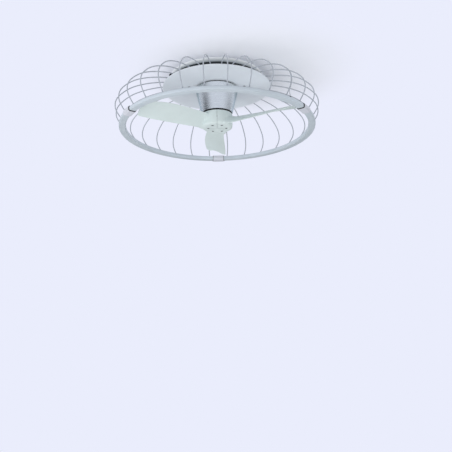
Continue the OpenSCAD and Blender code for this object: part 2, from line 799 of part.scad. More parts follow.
module mount_plate() {
    color("silver") difference() {
        translate([0, 0, mount_under_z]) cylinder(r = neck_r, h = mount_plate_t);
        mount_screw_places() translate([0, 0, mount_under_z - 1]) cylinder(r = mount_screw_r + seat, h = mount_plate_t + 2);
        shaft_screw_places() translate([0, 0, mount_under_z - 1]) cylinder(r = shaft_screw_r + seat, h = mount_plate_t + 2);
        translate([0, 0, mount_under_z - 1]) cylinder(r = shaft_bore_r, h = mount_plate_t + 2);
    }
}

// Four screws through the neck's flange and the mount plate into the pan
module mount_screws() {
    color("silver") mount_screw_places() translate([0, 0, mount_under_z - neck_flange_t])
        screw(mount_screw_r, neck_flange_t + mount_plate_t + pan_t, 4.2, 3);
}

module motor_neck() {
    color("#17181a") difference() {
        translate([0, 0, cone_top_z]) union() {
            tube(neck_r, neck_r - neck_t, mount_under_z - cone_top_z);
            translate([0, 0, mount_under_z - cone_top_z - neck_flange_t]) tube(neck_r - neck_t + eps, mount_hole_r - 8, neck_flange_t);
            tube(neck_r - neck_t + eps, cone_screw_place - 6, neck_flange_t);
        }
        mount_screw_places() translate([0, 0, mount_under_z - neck_flange_t - 1])
            cylinder(r = mount_screw_r + seat, h = neck_flange_t + 2);
        cone_screw_places() translate([0, 0, cone_top_z - 1]) cylinder(r = cone_screw_r + seat, h = neck_flange_t + 2);
    }
}

cone_lean = (cone_top_r - cone_low_r) / cone_h;

// The satin housing round the motor, open at the bottom
module motor_cone() {
    color("#c9cdd4") difference() {
        translate([0, 0, cone_low_z]) cylinder(r1 = cone_low_r, r2 = cone_top_r, h = cone_h);
        translate([0, 0, cone_low_z - 1])
            cylinder(r1 = cone_low_r - cone_t - cone_lean, r2 = cone_top_r - cone_t - cone_lean * cone_plate_t,
                h = cone_h + 1 - cone_plate_t);
        translate([0, 0, cone_top_z - cone_plate_t - 1]) cylinder(r = shaft_r + 3, h = cone_plate_t + 2);
        cone_screw_places() translate([0, 0, cone_top_z - cone_plate_t - 1])
            cylinder(r = cone_screw_r + seat, h = cone_plate_t + 2);
    }
}

module cone_screws() {
    color("silver") cone_screw_places() translate([0, 0, cone_top_z - cone_plate_t])
        screw(cone_screw_r, cone_plate_t + neck_flange_t + 1.5, 3.6, 2.6);
}

// Levels of the motor's stack, from the hub up
carrier_t = 4;
collar_h = 8;
cup_floor_t = 4;
collar_r = cone_low_r - cone_t - 2.9;
cup_floor_z = hub_top_z + collar_h + cup_floor_t;
bearing_h = 9;
bearing_r = 16;
ring_edge = 2.6;
ball_r = 2.6;
balls = 8;
// The rotor's holes round the shaft stay clear of the fixed inner rings
relief_r = shaft_r + ring_edge + 0.7;
ball_place = (shaft_r + bearing_r) / 2;
low_bearing_z = cup_floor_z;
winding_over = 4;
stator_z = low_bearing_z + bearing_h + winding_over + 4;
top_bearing_z = stator_z + stator_h + winding_over + 1;
lid_t = 4;
lid_z = top_bearing_z + bearing_h - 3;
shaft_end_z = cup_floor_z - 4;
shaft_bore_r = 4;

// A fixed hollow shaft with a flange, and a cross hole where the motor's leads come out
module motor_shaft() {
    color("silver") difference() {
        union() {
            translate([0, 0, shaft_end_z]) cylinder(r = shaft_r, h = mount_under_z - shaft_end_z);
            translate([0, 0, mount_under_z - shaft_flange_t]) cylinder(r = shaft_flange_r, h = shaft_flange_t);
        }
        translate([0, 0, stator_z + stator_h]) cylinder(r = shaft_bore_r, h = mount_under_z - stator_z - stator_h + 1);
        translate([0, 0, stator_z + stator_h + 3]) rotate([0, 90, 0]) translate([0, 0, -shaft_r - 1]) cylinder(r = 2, h = 2 * shaft_r + 2);
        shaft_screw_places() translate([0, 0, mount_under_z - shaft_flange_t - 1])
            cylinder(r = shaft_screw_r + seat, h = shaft_flange_t + 2);
    }
}

module shaft_screws() {
    color("silver") shaft_screw_places() translate([0, 0, mount_under_z - shaft_flange_t])
        screw(shaft_screw_r, shaft_flange_t + mount_plate_t - 0.2, 3.4, 3);
}

yoke_r = 18;
tooth_w = 60 / teeth;
tooth_tip_t = 3;

module stator_outline() {
    difference() {
        union() {
            circle(r = yoke_r);
            for (i = [0 : teeth - 1]) rotate([0, 0, i * 360 / teeth])
                translate([0, -tooth_w / 2]) square([stator_r - tooth_tip_t / 2, tooth_w]);
            for (i = [0 : teeth - 1]) rotate([0, 0, i * 360 / teeth]) intersection() {
                difference() {
                    circle(r = stator_r);
                    circle(r = stator_r - tooth_tip_t);
                }
                polygon([[0, 0], polar_2d(2 * stator_r, -130 / teeth), polar_2d(2 * stator_r, 130 / teeth)]);
            }
        }
        circle(r = shaft_r + seat);
    }
}

function polar_2d(r, az) = [r * cos(az), r * sin(az)];

module stator_core() {
    color("slategray") translate([0, 0, stator_z]) linear_extrude(stator_h) stator_outline();
}

winding_t = 28.8 / teeth;
winding_end = sqrt(pow(stator_r - tooth_tip_t - 0.2, 2) - pow(tooth_w / 2 + winding_t, 2));

// One closed copper coil round each tooth
module stator_windings() {
    color("chocolate") for (i = [0 : teeth - 1]) rotate([0, 0, i * 360 / teeth])
        translate([yoke_r + 1, 0, stator_z + stator_h / 2]) rotate([0, 90, 0])
            linear_extrude(winding_end - yoke_r - 1) difference() {
                square([stator_h + 2 * winding_over - 1, tooth_w + 2 * winding_t], center = true);
                square([stator_h + 2 * seat, tooth_w + 2 * seat], center = true);
            }
}

// ---------- bearings ----------

// The inner ring's section, with the groove that the balls run in
module bearing_section(inner, outer) {
    difference() {
        translate([inner, 0]) square([outer - inner, bearing_h]);
        translate([ball_place, bearing_h / 2]) circle(r = ball_r + seat);
    }
}

module at_bearings() {
    for (z = [low_bearing_z, top_bearing_z]) translate([0, 0, z]) children();
}

module bearing_inner_rings() {
    color("silver") at_bearings() rotate_extrude() bearing_section(shaft_r + seat, shaft_r + ring_edge);
}

module bearing_outer_rings() {
    color("silver") at_bearings() rotate_extrude() bearing_section(bearing_r - ring_edge, bearing_r);
}

module bearing_balls() {
    color("silver") at_bearings() for (i = [0 : balls - 1])
        rotate([0, 0, i * 360 / balls]) translate([ball_place, 0, bearing_h / 2]) sphere(r = ball_r);
}

// ---------- rotor ----------

boss_r = bearing_r + 4;
rim_in_r = stator_r + 0.7;
magnet_out_r = rim_in_r + magnet_t;
magnet_h = stator_h + 2;
// The cup's rim above the magnets, thick enough for the lid's screws
rim_z = stator_z + magnet_h - 1 + seat;
lid_screws_n = 4;
carrier_screw_place = 36;
carrier_screw_r = 2;
carrier_head_r = 4;
carrier_r = hub_r - hub_wall - 1.4;
blade_screw_shank = 2;

// The turning steel cup, with the black collar that shows above the hub
module rotor_cup() {
    color("#17181a") difference() {
        union() {
            translate([0, 0, hub_top_z]) cylinder(r = collar_r, h = collar_h);
            translate([0, 0, hub_top_z + collar_h - eps]) cylinder(r = cup_r, h = cup_floor_t + eps);
            translate([0, 0, cup_floor_z - eps]) tube(cup_r, magnet_out_r + seat, lid_z - cup_floor_z + eps);
            translate([0, 0, rim_z]) tube(cup_r, rim_in_r, lid_z - rim_z);
            translate([0, 0, cup_floor_z - eps]) cylinder(r = boss_r, h = bearing_h + eps);
        }
        translate([0, 0, low_bearing_z]) cylinder(r = bearing_r + seat, h = bearing_h + 1);
        translate([0, 0, cup_floor_z - 6]) cylinder(r = relief_r, h = 7);
        carrier_screw_places() translate([0, 0, hub_top_z - 1]) cylinder(r = carrier_screw_r + seat, h = collar_h);
        blade_screw_places() translate([0, 0, hub_top_z - 1]) cylinder(r = blade_screw_shank + seat, h = 5);
        lid_screw_places() translate([0, 0, lid_z - lid_screw_l]) cylinder(r = lid_screw_r + seat, h = lid_screw_l + 1);
    }
}

module lid_screw_places() {
    for (i = [0 : lid_screws_n - 1]) rotate([0, 0, i * 360 / lid_screws_n + 45])
        translate([(cup_r + rim_in_r) / 2, 0, 0]) children();
}

lid_screw_r = 1.25;
lid_screw_l = 6;

module rotor_lid() {
    color("#2a2b2e") difference() {
        union() {
            translate([0, 0, lid_z]) cylinder(r = cup_r, h = lid_t);
            translate([0, 0, top_bearing_z]) cylinder(r = boss_r, h = lid_z - top_bearing_z + eps);
        }
        translate([0, 0, top_bearing_z - 1]) cylinder(r = bearing_r + seat, h = bearing_h + 1);
        translate([0, 0, lid_z - 1]) cylinder(r = relief_r, h = lid_t + 2);
        lid_screw_places() translate([0, 0, lid_z - 1]) cylinder(r = lid_screw_r + seat, h = lid_t + 2);
    }
}

module lid_screws() {
    color("silver") lid_screw_places() translate([0, 0, lid_z + lid_t]) rotate([180, 0, 0])
        screw(lid_screw_r, lid_t + lid_screw_l - 0.5, 2.3, 1.6);
}

magnet_gap_deg = 1.2;

module rotor_magnets() {
    color("#4a4d52") translate([0, 0, stator_z - 1])
        for (i = [0 : magnets - 1])
            ring_sweep((i + 0.5) * 360 / magnets + magnet_gap_deg / 2, (i + 1.5) * 360 / magnets - magnet_gap_deg / 2)
                translate([magnet_out_r - magnet_t, 0]) square([magnet_t, magnet_h]);
}

module carrier_screw_places() {
    for (az = [30, 150, 270]) rotate([0, 0, az]) translate([carrier_screw_place, 0, 0]) children();
}

module blade_screw_places() {
    for (az = [0 : 60 : 300]) rotate([0, 0, az]) translate([blade_screw_r, 0, 0]) children();
}

// The aluminium plate that the three blade mouldings are screwed to
module hub_carrier() {
    color("silver") difference() {
        translate([0, 0, hub_top_z - carrier_t]) cylinder(r = carrier_r, h = carrier_t);
        translate([0, 0, hub_top_z - carrier_t - 1]) cylinder(r = shaft_r + 2.5, h = carrier_t + 2);
        carrier_screw_places() {
            translate([0, 0, hub_top_z - carrier_t - 1]) cylinder(r = carrier_screw_r + seat, h = carrier_t + 2);
            translate([0, 0, hub_top_z - carrier_t - 1]) cylinder(r = carrier_head_r + seat, h = 3.2);
        }
        blade_screw_places() translate([0, 0, hub_top_z - carrier_t - 1]) cylinder(r = blade_screw_shank + seat, h = carrier_t + 2);
    }
}

module carrier_screws() {
    color("silver") carrier_screw_places() translate([0, 0, hub_top_z - carrier_t + 2.2])
        screw(carrier_screw_r, carrier_t - 2.2 + collar_h - 2, carrier_head_r, 2.1);
}

// ---------- blades ----------

boss_top_z = hub_top_z - carrier_t;
// Solid length of a boss above its well, which a long screw goes through
screw_pad = boss_top_z - hub_low_z - well_depth;
// The head stands this far in from the well's mouth, and clears its wall by the second value
head_sink = 1;
head_room_side = 0.2;
well_boss_r = well_d / 2 + 2.2;
hub_floor_t = 3;

// The hub's outer profile, with a true quarter round at its lower edge
module hub_outline() {
    square([hub_r - hub_round, hub_h]);
    translate([0, hub_round]) square([hub_r, hub_h - hub_round]);
    translate([hub_r - hub_round, hub_round]) circle(r = hub_round);
}

// A 120 degree wedge round azimuth 0, drawn in by half a seam on each side
module sector(reach) {
    apex = seam / 2 / sin(arc_step / 2);
    translate([0, 0, hub_low_z - 1]) linear_extrude(hub_h + 2)
        polygon([[apex, 0], [apex, 0] + polar_2d(reach, -arc_step / 2), [reach, 0], [apex, 0] + polar_2d(reach, arc_step / 2)]);
}

// A blade's two long edges, as smooth curves of its span from the root inside the hub to the tip.
// Each edge has a sideways place, measured from the blade's own radius, and a lift above the hub's under side.
root_r = 30;
span = tip_r - root_r;
function curve(c, t) = c[0] * pow(1 - t, 3) + 3 * c[1] * t * pow(1 - t, 2) + 3 * c[2] * t * t * (1 - t) + c[3] * pow(t, 3);
// From 1 at the hub down to 0 a little way out
function flare(t) = pow(max(0, 1 - max(0, root_r + span * t - 0.9 * hub_r) / root_reach), 2);
blade_rows = 14;
blade_cols = 5;
// Lean of the stations against the span, which fades out at the tip
station_lean = 0.05;
tip_round = 9;
// The camber peaks beyond the middle, towards the high edge
camber_bias = 0.4;

// One section: a closed loop of points round the blade at part t of its span
function blade_loop(t) = let (
        from_tip = span * (1 - t),
        round = from_tip < tip_round ? tip_round - sqrt(max(0, tip_round * tip_round - pow(tip_round - from_tip, 2))) : 0,
        low = [curve(low_side, t) - root_widen * flare(t), curve(low_lift, t)],
        high = [curve(high_side, t), curve(high_lift, t)],
        along = unit(high - low),
        up = [-along[1], along[0]],
        a = low + along * round,
        b = high - along * round,
        camber = root_camber + (tip_camber - root_camber) * t,
        thick = blade_t * (1.35 - 0.55 * t) + 2 * root_flare * flare(t))
    concat(
        [for (k = [0 : blade_cols]) section_point(a, b, up, k / blade_cols, camber, thick, 1)],
        [for (k = [blade_cols : -1 : 0]) section_point(a, b, up, k / blade_cols, camber, thick, -1)]);
function section_point(a, b, up, s, camber, thick, face) = let (belly = 4 * s * (1 - s))
    a + (b - a) * s + up * (camber * belly * (1 + camber_bias * (2 * s - 1)) + face * (0.5 + (thick / 2 - 0.5) * pow(belly, 0.6)));
// Rows lie closer together at the tip, where the corners turn
function row_at(i) = i < blade_rows - 4 ? i / (blade_rows - 4) * (1 - tip_round / span)
    : 1 - tip_round / span * (1 - sin((i - blade_rows + 4) / 4 * 90));

// The hub's hollow, which follows its outer rounding
module hub_hollow() {
    inner_r = hub_r - hub_wall;
    inner_round = hub_round - hub_floor_t;
    translate([0, 0, hub_low_z + hub_floor_t]) rotate_extrude() {
        square([inner_r - inner_round, hub_h]);
        translate([0, inner_round]) square([inner_r, hub_h]);
        translate([inner_r - inner_round, inner_round]) circle(r = inner_round);
    }
}

module blade_body() {
    n = 2 * (blade_cols + 1);
    points = [for (i = [0 : blade_rows]) let (t = row_at(i)) for (p = blade_loop(t))
        [root_r + span * t + station_lean * (1 - t) * p[0], p[0], hub_low_z + p[1]]];
    last = blade_rows * n;
    faces = concat(
        [[for (s = [n - 1 : -1 : 0]) s]],
        [for (i = [0 : blade_rows - 1], s = [0 : n - 1]) let (a = i * n + s, b = i * n + (s + 1) % n)
            each [[a, b + n, a + n], [a, b, b + n]]],
        [[for (s = [0 : n - 1]) last + s]]);
    polyhedron(points = points, faces = faces);
}

// One moulding: a third of the hub with its blade, two screw wells and their bosses
module blade_moulding(az) {
    color("#dfe6e6") rotate([0, 0, az]) difference() {
        union() {
            difference() {
                union() {
                    intersection() {
                        translate([0, 0, hub_low_z]) rotate_extrude() hub_outline();
                        sector(2 * hub_r);
                    }
                    blade_body();
                }
                hub_hollow();
            }
            for (turn = [-30, 30]) rotate([0, 0, turn]) translate([blade_screw_r, 0, hub_low_z + 1])
                cylinder(r = well_boss_r, h = boss_top_z - hub_low_z - 1);
        }
        for (turn = [-30, 30]) rotate([0, 0, turn]) translate([blade_screw_r, 0, 0]) {
            translate([0, 0, hub_low_z - 1]) cylinder(d = well_d, h = boss_top_z - screw_pad - hub_low_z + 1);
            translate([0, 0, boss_top_z - screw_pad - 1]) cylinder(r = blade_screw_shank + seat, h = screw_pad + 2);
        }
    }
}

module blade_rear() { blade_moulding(rear_az); }
module blade_front_left() { blade_moulding(front_left_az); }
module blade_front_right() { blade_moulding(front_right_az); }

module blade_screws() {
    color("silver") blade_screw_places() translate([0, 0, boss_top_z - screw_pad]) difference() {
        screw(blade_screw_shank, screw_pad + carrier_t + 3, well_d / 2 - head_room_side, well_depth - head_sink);
        translate([0, 0, head_sink - well_depth]) cross_recess(4, 1.4);
    }
}

ceiling_bracket();
pan_nuts();
canopy_pan();
cable_bush();
spacer_ring();
cover_posts();
cover_disc();
cover_screws();
motor_driver();
light_driver();
terminal_block();
remote_receiver();
module_screws();
cage_hoop();
cage_wires_left();
cage_wires_front();
cage_wires_right();
hoop_clips();
clip_bolts();
rim_screws();
channel_left();
channel_front();
channel_right();
diffuser_left();
diffuser_front();
diffuser_right();
diodes_left();
diodes_front();
diodes_right();
sleeve_rear();
sleeve_front_left();
sleeve_front_right();
sleeve_screws();
ring_seals();
ring_grommet();
light_lead();
mount_plate();
mount_screws();
motor_neck();
motor_cone();
cone_screws();
motor_shaft();
shaft_screws();
stator_core();
stator_windings();
bearing_inner_rings();
bearing_balls();
bearing_outer_rings();
rotor_cup();
rotor_lid();
lid_screws();
rotor_magnets();
hub_carrier();
carrier_screws();
blade_rear();
blade_front_left();
blade_front_right();
blade_screws();
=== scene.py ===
# %% [markdown]
# # A caged ceiling fan with a ring light
#
# The construction of this fan comes from a CAD model: the canopy on the ceiling, the motor cone,
# the turning hub, the bent wires and the light ring are all solids at their real size.
# This lesson gives those solids their looks, and models again, as smooth surfaces, the pieces
# whose curves a CAD solid only has in flat facets: the three blade mouldings.
#
# We start by loading the model. Everything is in metres, the ceiling is the plane z = 0,
# and the fan turns about the Z axis.

# %% Load the model
import math

import bmesh
import bpy
from mathutils import Matrix, Vector


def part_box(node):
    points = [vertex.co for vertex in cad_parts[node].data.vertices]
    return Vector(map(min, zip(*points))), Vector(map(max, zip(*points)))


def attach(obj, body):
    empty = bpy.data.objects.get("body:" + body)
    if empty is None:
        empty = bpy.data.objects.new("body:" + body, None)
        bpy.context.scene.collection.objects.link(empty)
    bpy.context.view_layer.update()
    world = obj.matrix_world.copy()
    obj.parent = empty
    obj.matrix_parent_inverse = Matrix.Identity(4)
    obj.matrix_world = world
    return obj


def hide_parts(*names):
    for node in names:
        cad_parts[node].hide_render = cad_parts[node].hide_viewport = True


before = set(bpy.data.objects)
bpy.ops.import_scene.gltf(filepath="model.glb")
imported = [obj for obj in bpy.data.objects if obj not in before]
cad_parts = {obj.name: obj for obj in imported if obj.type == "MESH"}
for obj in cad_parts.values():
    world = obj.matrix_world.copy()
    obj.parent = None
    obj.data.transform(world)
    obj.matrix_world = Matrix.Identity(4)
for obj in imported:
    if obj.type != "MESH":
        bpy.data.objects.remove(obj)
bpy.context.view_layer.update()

# %% [markdown]
# ## The camera
#
# The photographer stood in front of the fan, a good two metres away, and looked up at it, so the
# near side of the ring crosses in front of the round cover. We place the camera by measured numbers
# instead of by eye: a position, three turns, and a lens a little longer than normal, which keeps
# the ellipses of ring and cover flat.

# %% Place the camera
MM = 0.001
camera_data = bpy.data.cameras.new("camera")
camera_data.lens = 55.69
camera_data.sensor_width = 36
camera_data.clip_start = 0.05
camera_data.clip_end = 50
camera = bpy.data.objects.new("camera", camera_data)
camera.location = (0.0169, -2.1070, -0.9908)
camera.rotation_euler = [math.radians(turn) for turn in (103.269, 0.936, 0.068)]
bpy.context.scene.collection.objects.link(camera)
bpy.context.scene.camera = camera
bpy.context.scene.view_settings.view_transform = "Standard"
print("camera is", round(camera.location.length, 2), "m from the fan")

# %% [markdown]
# ## A way to write materials
#
# Every finish below is a small graph of nodes. Written node by node, such a graph is hard to read,
# so we wrap a socket in a class that knows plus, minus and times: `1 - mask` then adds its own Math
# node. One method makes every other kind of node from its settings and the values of its sockets.

# %% Sockets that can be added and multiplied
class Value:
    """An output socket of a finish, which takes part in Python sums."""

    def __init__(self, finish, socket):
        self.finish = finish
        self.socket = socket

    def maths(self, operation, first, second):
        return self.finish.node("ShaderNodeMath", {"operation": operation}, {0: first, 1: second})

    def __add__(self, other):
        return self.maths("ADD", self, other)

    def __rsub__(self, other):
        return self.maths("SUBTRACT", other, self)

    def __mul__(self, other):
        return self.maths("MULTIPLY", self, other)


class Finish:
    """A material with one Principled shader, and the nodes that feed it."""

    def __init__(self, name):
        self.material = bpy.data.materials.new(name)
        self.material.use_nodes = True
        self.tree = self.material.node_tree
        self.shader = next(n for n in self.tree.nodes if n.type == "BSDF_PRINCIPLED")
        self.output = next(n for n in self.tree.nodes if n.type == "OUTPUT_MATERIAL")

    def node(self, kind, settings=None, inputs=None, output=0):
        made = self.tree.nodes.new(kind)
        for name, value in (settings or {}).items():
            if name == "stops":
                ramp = made.color_ramp
                for place, (position, color) in enumerate(value):
                    stop = ramp.elements[place] if place < 2 else ramp.elements.new(position)
                    stop.position = position
                    stop.color = color
            else:
                setattr(made, name, value)
        for name, value in (inputs or {}).items():
            self.plug(made.inputs[name], value)
        return Value(self, made.outputs[output])

    def plug(self, socket, value):
        if isinstance(value, Value):
            self.tree.links.new(value.socket, socket)
        else:
            socket.default_value = value

    def feed(self, **inputs):
        for name, value in inputs.items():
            self.plug(self.shader.inputs[name.replace("_", " ")], value)

    def place(self, scale=(1, 1, 1)):
        """Object coordinates in metres, scaled for a pattern."""
        spot = self.node("ShaderNodeTexCoord", output="Object")
        return self.node("ShaderNodeMapping", inputs={"Vector": spot, "Scale": scale})

    def noise(self, size, detail=3.0, stretch=(1, 1, 1)):
        """Noise whose blobs are about `size` metres across."""
        return self.node("ShaderNodeTexNoise", {"noise_dimensions": "3D"},
                         {"Vector": self.place(stretch), "Scale": 1 / size, "Detail": detail})

    def blend(self, mask, first, second):
        """A colour between two colours."""
        return self.node("ShaderNodeMix", {"data_type": "RGBA"},
                         {0: mask, 6: (*first, 1), 7: (*second, 1)}, output=2)

    def spread(self, value, low, high):
        """Maps the middle of a noise, 0.3 to 0.7, to low to high."""
        return self.node("ShaderNodeMapRange", {"clamp": True},
                         {0: value, 1: 0.3, 2: 0.7, 3: low, 4: high})

    def bump(self, height, depth, under=None):
        inputs = {"Height": height, "Distance": depth, "Strength": 1.0}
        if under is not None:
            inputs["Normal"] = under
        return self.node("ShaderNodeBump", inputs=inputs)


def srgb(red, green, blue):
    """A colour as the eye reads it off a screen, 0 to 255, turned into the light it stands for."""
    steps = [channel / 255 for channel in (red, green, blue)]
    return tuple(c / 12.92 if c < 0.04045 else ((c + 0.055) / 1.055) ** 2.4 for c in steps)


def shade(color, factor):
    return tuple(min(1.0, channel * factor) for channel in color)


FINISHES = {}
print("helpers are ready")

# %% [markdown]
# ## Painted metal
#
# The cover disc, the wires, the ring's channel and the canopy are powder coated. Powder paint melts
# into a skin with a faint orange peel: a bump less than a tenth of a millimetre deep and two or three
# millimetres wide. Its gloss varies a little where the skin is thinner, so roughness gets its own
# noise. One function makes all these paints, because they differ only in colour and gloss.

# %% Powder paint
def powder_paint(name, color, gloss, peel=0.05 * MM, peel_size=2.4 * MM, cloud=0.03, metal=0.0):
    paint = Finish(name)
    clouds = paint.noise(60 * MM, detail=2)
    fine = paint.noise(peel_size, detail=2)
    grain = paint.noise(0.35 * MM, detail=1)
    tone = paint.spread(clouds, 0, 1)
    paint.feed(Base_Color=paint.blend(tone, shade(color, 1 - cloud), shade(color, 1 + cloud)),
               Roughness=paint.spread(fine, gloss - 0.04, gloss + 0.05),
               Metallic=metal,
               Normal=paint.bump(grain, 0.012 * MM, under=paint.bump(fine, peel)))
    FINISHES[name] = paint.material
    return paint


powder_paint("disc_paint", srgb(220, 226, 234), 0.46)
powder_paint("wire_paint", srgb(172, 178, 188), 0.28, peel_size=1.6 * MM)
powder_paint("channel_paint", srgb(194, 204, 214), 0.4)
powder_paint("black_zinc", srgb(30, 31, 34), 0.45, metal=0.6)
print("paints:", sorted(FINISHES))

# %% [markdown]
# The canopy's wall carries painted shade: its grey starts pale at the ceiling and gets darker towards
# the black ring below it, standing in for the shadow that the cover disc casts on the wall, so that the
# ring looks like one deep shadow gap. The change follows the height alone, so we read the Z of the
# object coordinates and blend two greys between the wall's two ends.

# %% Canopy paint with painted shade
canopy_low, canopy_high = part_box("canopy_pan")
canopy = powder_paint("canopy_paint_painted_shade", srgb(236, 240, 244), 0.5)
wall_height = canopy.node("ShaderNodeSeparateXYZ", inputs={0: canopy.place()}, output=2)
painted_shade_down = canopy.node("ShaderNodeMapRange", {"clamp": True},
                         {0: wall_height, 1: canopy_high[2], 2: canopy_low[2], 3: 0.0, 4: 1.0})
# painted shade: the wall's grey darkens downwards to stand for the cover disc's shadow on it
canopy.feed(Base_Color=canopy.blend(painted_shade_down, srgb(236, 240, 244), srgb(140, 149, 156)))
print("the canopy is", round((canopy_high[2] - canopy_low[2]) / MM, 1), "mm deep")

# %% [markdown]
# ## The motor cone
#
# The cone is spun from sheet metal and finished in a satin silver lacquer. Spinning leaves very fine
# rings round the axis, so the grain is noise that is stretched fifty times across the axis and keeps
# its size along it. The finish is fully metallic, so the cone shows what stands round it. At a grazing
# angle any metal turns into a white mirror; a blue-grey Specular Tint holds the cone's two edges back.

# %% Satin spun metal
def spun_metal(name, color, gloss, edge):
    spun = Finish(name)
    rings = spun.noise(0.9 * MM, detail=4, stretch=(0.02, 0.02, 1))
    clouds = spun.noise(45 * MM, detail=2)
    tone = spun.spread(rings, 0, 0.6) + spun.spread(clouds, 0, 0.4)
    spun.feed(Base_Color=spun.blend(tone, shade(color, 0.95), shade(color, 1.04)),
              Roughness=spun.spread(rings, gloss - 0.02, gloss + 0.03),
              Metallic=1.0,
              Normal=spun.bump(rings, 0.003 * MM))
    spun.shader.inputs["Specular Tint"].default_value = (*edge, 1)
    FINISHES[name] = spun.material


spun_metal("cone_satin", srgb(216, 222, 222), 0.25, edge=(0.5, 0.6, 0.65))

# %% [markdown]
# ## Plastics and rubber
#
# The blades and the hub are moulded in a cool white plastic with a fine, dry texture. The sleeves of
# the ring are a smoother, slightly warm plastic, and the lens of the light is opal: milky all the way
# through, so it gets a little light under its skin. Black plastic and rubber only show as dark gaps,
# and a rougher surface keeps them from shining. The band above the cover disc is a softer black. The
# spacer ring is a real part, but its near-black is painted shade for the deep gap under the canopy.

# %% Moulded plastic
def moulded(name, color, gloss, texture=0.25 * MM, depth=0.015 * MM, cloud=0.02, milk=0.0, dull=False):
    plastic = Finish(name)
    skin = plastic.noise(texture, detail=1)
    flow = plastic.noise(30 * MM, detail=3)
    plastic.feed(Base_Color=plastic.blend(plastic.spread(flow, 0, 1), shade(color, 1 - cloud),
                                          shade(color, 1 + cloud)),
                 Roughness=plastic.spread(flow, gloss - 0.03, gloss + 0.05),
                 Normal=plastic.bump(skin, depth))
    if milk:
        plastic.feed(Subsurface_Weight=milk, Subsurface_Radius=(1.0, 1.0, 1.0),
                     Subsurface_Scale=2 * MM)
    if dull:
        plastic.feed(Specular_IOR_Level=0.1)
    FINISHES[name] = plastic.material


moulded("blade_plastic", srgb(208, 220, 220), 0.36)
moulded("sleeve_plastic", srgb(202, 205, 215), 0.33)
moulded("opal_lens", srgb(188, 198, 206), 0.34, milk=0.3)
moulded("black_plastic", srgb(10, 11, 12), 0.8, cloud=0.2, dull=True)
# painted shade: the spacer ring's near-black stands for the shadow gap between canopy and cover disc
moulded("band_black_painted_shade", srgb(52, 56, 60), 0.8, cloud=0.2, dull=True)
moulded("black_rubber", srgb(26, 27, 30), 0.75, texture=0.5 * MM, depth=0.05 * MM, cloud=0.2)
moulded("case_plastic", srgb(226, 226, 222), 0.5, texture=0.5 * MM, depth=0.04 * MM)
print("plastics are ready")

# %% [markdown]
# ## Steel, copper and magnets
#
# Inside the canopy and the motor are plain engineering finishes. Zinc plating has a faint mottle of
# crystals, the stator's core shows the edges of its stacked sheets, and the copper coils show their
# turns, with painted shade that darkens the grooves between them. The last two are stripes across the
# height, which a Wave texture draws: it repeats about every 0.314 metres at a scale of one, so that
# number over the pitch is the scale to ask for.

# %% Workshop metals
def plated_steel(name, color, gloss, mottle=2.5 * MM):
    plated = Finish(name)
    crystals = plated.node("ShaderNodeTexVoronoi", {"feature": "F1"},
                           {"Vector": plated.place(), "Scale": 1 / mottle}, output="Color")
    grey = plated.node("ShaderNodeRGBToBW", inputs={0: crystals})
    plated.feed(Base_Color=plated.blend(grey, shade(color, 0.88), shade(color, 1.06)),
                Roughness=plated.spread(grey, gloss - 0.06, gloss + 0.08),
                Metallic=1.0,
                Normal=plated.bump(plated.noise(0.6 * MM), 0.02 * MM))
    FINISHES[name] = plated.material


WAVE_REPEAT = 0.314


def striped(name, color, groove, gloss, metal, pitch, depth):
    lines = Finish(name)
    wave = lines.node("ShaderNodeTexWave", {"wave_type": "BANDS", "bands_direction": "Z",
                                            "wave_profile": "SIN"},
                      {"Vector": lines.place(), "Scale": WAVE_REPEAT / pitch, "Distortion": 0.2})
    lines.feed(Base_Color=lines.blend(wave, groove, color),
               Roughness=lines.spread(lines.noise(3 * MM), gloss - 0.05, gloss + 0.05),
               Metallic=metal,
               Normal=lines.bump(wave, depth))
    FINISHES[name] = lines.material


plated_steel("zinc_plate", srgb(205, 207, 210), 0.35)
plated_steel("ground_steel", srgb(214, 216, 219), 0.2, mottle=0.8 * MM)
striped("laminated_core", srgb(120, 124, 130), srgb(66, 68, 72), 0.45, 0.9, 1.0 * MM, 0.1 * MM)
# painted shade: the copper's darker groove colour stands for the shade between the turns
striped("copper_turns", srgb(196, 118, 66), srgb(112, 52, 24), 0.3, 0.9, 0.9 * MM, 0.3 * MM)
powder_paint("magnet_nickel", srgb(128, 131, 136), 0.3, metal=0.9)
powder_paint("rotor_paint", srgb(40, 41, 45), 0.4)

# %% [markdown]
# The diode strips are white boards. Their little chips stand lower than the board, so one colour
# below a certain height and another above it is all the pattern that they need.

# %% Diode boards
def diode_board(name, chip_below):
    board = Finish(name)
    height = board.node("ShaderNodeSeparateXYZ", inputs={0: board.place()}, output=2)
    chip = board.node("ShaderNodeMath", {"operation": "LESS_THAN"}, {0: height, 1: chip_below})
    board.feed(Base_Color=board.blend(chip, srgb(236, 237, 232), srgb(238, 214, 120)),
               Roughness=board.spread(board.noise(4 * MM), 0.35, 0.5),
               Normal=board.bump(board.noise(0.5 * MM), 0.02 * MM))
    FINISHES[name] = board.material


strip_low, strip_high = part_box("diodes_front")
diode_board("diode_board", strip_low[2] + 0.95 * MM)
print(len(FINISHES), "finishes")

# %% [markdown]
# ## Dress the CAD solids
#
# The solids whose shape is right keep it and only get their finish. A table from finish to solids is
# the shortest way to say which is which, and it fails loudly if a name is wrong.

